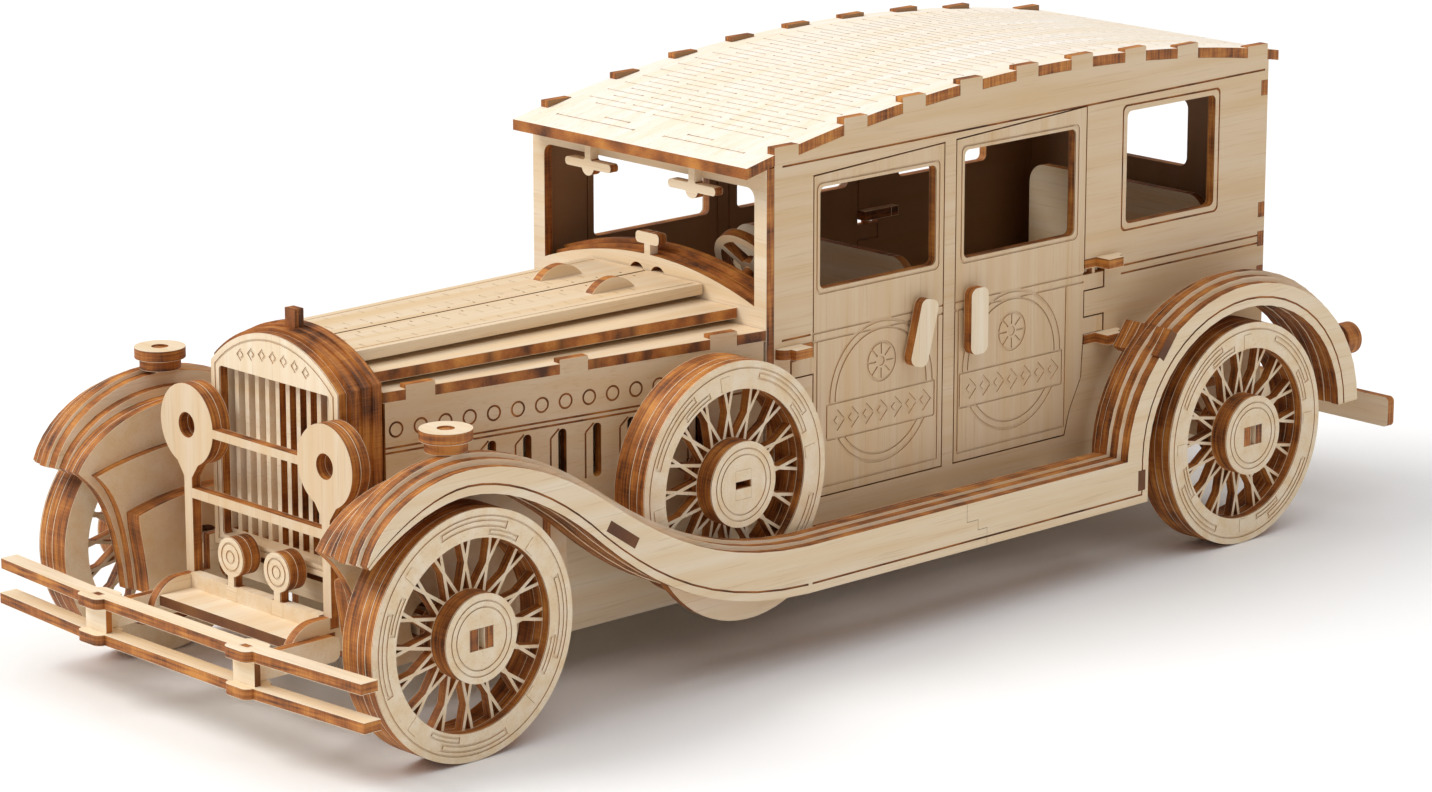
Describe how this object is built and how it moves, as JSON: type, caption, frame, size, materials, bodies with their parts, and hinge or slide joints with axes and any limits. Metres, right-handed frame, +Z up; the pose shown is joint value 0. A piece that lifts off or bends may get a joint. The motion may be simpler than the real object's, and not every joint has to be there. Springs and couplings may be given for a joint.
{
  "type": "wooden 3d jigsaw model",
  "caption": "Laser-cut plywood model of a vintage saloon car, built from slotted plates, with turning wheels, opening doors and bonnet flaps, spare wheels, lamps and bumpers.",
  "frame": {"origin": "on the ground under the middle of the car, halfway between the front bumper and the rear bumper", "axes": "+X towards the front of the car, +Y towards its left side, +Z up"},
  "size_m": [0.2816, 0.1054, 0.1009],
  "materials": {
    "plain_plywood": "bare sanded birch plywood, laser cut",
    "top_plywood": "bare sanded birch plywood, laser cut",
    "engraved_plywood": "bare birch plywood with laser-engraved lines",
    "stacked_plywood": "laser-burnt plywood edges"
  },
  "bodies": {
    "chassis": {"chassis_rail_left": "plain_plywood", "chassis_rail_right": "plain_plywood", "floor_plate": "top_plywood", "front_cross_plates": "plain_plywood", "windscreen_frame": "plain_plywood", "dashboard": "stacked_plywood", "side_panel_left": "engraved_plywood", "side_panel_right": "engraved_plywood", "rear_panel": "engraved_plywood", "roof": "top_plywood", "door_hinge_plates": "top_plywood", "front_seat": "top_plywood", "rear_seat": "top_plywood", "radiator_shell": "stacked_plywood", "radiator_front": "plain_plywood", "grille": "plain_plywood", "radiator_cap": "stacked_plywood", "lamp_frame": "plain_plywood", "headlamp_rings": "stacked_plywood", "fog_lamps": "plain_plywood", "bumper_upper_bar": "top_plywood", "bumper_lower_bar": "top_plywood", "bumper_clips": "plain_plywood", "rear_bumper": "plain_plywood", "fender_front_left": "plain_plywood", "fender_front_right": "plain_plywood", "fender_rear_left": "plain_plywood", "fender_rear_right": "plain_plywood", "fender_stack_left": "stacked_plywood", "fender_stack_right": "stacked_plywood", "inner_fenders": "plain_plywood", "fender_lamps": "top_plywood", "tail_lamps": "stacked_plywood", "bonnet_side_left": "engraved_plywood", "bonnet_side_right": "engraved_plywood", "bonnet_shelves": "top_plywood", "sun_visors": "top_plywood", "mirror": "top_plywood", "spare_tyres": "stacked_plywood", "spare_spokes": "plain_plywood", "spare_hubs": "stacked_plywood"},
    "bonnet_left": {"bonnet_flap_left": "top_plywood"},
    "bonnet_right": {"bonnet_flap_right": "top_plywood"},
    "steering": {"steering_wheel": "stacked_plywood"},
    "front_wheels": {"front_axle": "stacked_plywood", "front_tyres": "stacked_plywood", "front_spokes": "plain_plywood", "front_hubs": "stacked_plywood"},
    "rear_wheels": {"rear_axle": "stacked_plywood", "rear_tyres": "stacked_plywood", "rear_spokes": "plain_plywood", "rear_hubs": "stacked_plywood"},
    "door_front_left_body": {"door_front_left": "engraved_plywood"},
    "handle_front_left_body": {"handle_front_left": "plain_plywood"},
    "door_front_right_body": {"door_front_right": "engraved_plywood"},
    "handle_front_right_body": {"handle_front_right": "plain_plywood"},
    "door_rear_left_body": {"door_rear_left": "engraved_plywood"},
    "handle_rear_left_body": {"handle_rear_left": "plain_plywood"},
    "door_rear_right_body": {"door_rear_right": "engraved_plywood"},
    "handle_rear_right_body": {"handle_rear_right": "plain_plywood"}
  },
  "joints": [
    {"name": "front_axle_turn", "type": "hinge", "parent": "chassis", "child": "front_wheels", "pos_m": [0.10925, 0, 0.0225], "axis": [0, 1, 0], "continuous": true},
    {"name": "rear_axle_turn", "type": "hinge", "parent": "chassis", "child": "rear_wheels", "pos_m": [-0.09175, 0, 0.0225], "axis": [0, 1, 0], "continuous": true},
    {"name": "steering_turn", "type": "hinge", "parent": "chassis", "child": "steering", "pos_m": [0.02125, 0.0155, 0.062], "axis": [-0.866, 0, 0.5], "continuous": true},
    {"name": "bonnet_left_hinge", "type": "hinge", "parent": "chassis", "child": "bonnet_left", "pos_m": [0.06575, 0.0029, 0.065], "axis": [1, 0, 0], "range_deg": [0, 65]},
    {"name": "bonnet_right_hinge", "type": "hinge", "parent": "chassis", "child": "bonnet_right", "pos_m": [0.06575, -0.0029, 0.065], "axis": [-1, 0, 0], "range_deg": [0, 65]},
    {"name": "door_front_left_hinge", "type": "hinge", "parent": "chassis", "child": "door_front_left_body", "pos_m": [0.01615, 0.0314, 0.0525], "axis": [0, 0, -1], "range_deg": [0, 70]},
    {"name": "door_rear_left_hinge", "type": "hinge", "parent": "chassis", "child": "door_rear_left_body", "pos_m": [-0.06355, 0.0314, 0.0525], "axis": [0, 0, 1], "range_deg": [0, 44]},
    {"name": "handle_front_left_turn", "type": "hinge", "parent": "door_front_left_body", "child": "handle_front_left_body", "pos_m": [-0.01405, 0.0324, 0.0555], "axis": [0, 1, 0], "range_deg": [-15, 20]},
    {"name": "handle_rear_left_turn", "type": "hinge", "parent": "door_rear_left_body", "child": "handle_rear_left_body", "pos_m": [-0.02845, 0.0324, 0.0555], "axis": [0, 1, 0], "range_deg": [-15, 20]},
    {"name": "door_front_right_hinge", "type": "hinge", "parent": "chassis", "child": "door_front_right_body", "pos_m": [0.01615, -0.0314, 0.0525], "axis": [0, 0, 1], "range_deg": [0, 70]},
    {"name": "door_rear_right_hinge", "type": "hinge", "parent": "chassis", "child": "door_rear_right_body", "pos_m": [-0.06355, -0.0314, 0.0525], "axis": [0, 0, -1], "range_deg": [0, 44]},
    {"name": "handle_front_right_turn", "type": "hinge", "parent": "door_front_right_body", "child": "handle_front_right_body", "pos_m": [-0.01405, -0.0324, 0.0555], "axis": [0, 1, 0], "range_deg": [-15, 20]},
    {"name": "handle_rear_right_turn", "type": "hinge", "parent": "door_rear_right_body", "child": "handle_rear_right_body", "pos_m": [-0.02845, -0.0324, 0.0555], "axis": [0, 1, 0], "range_deg": [-15, 20]}
  ]
}
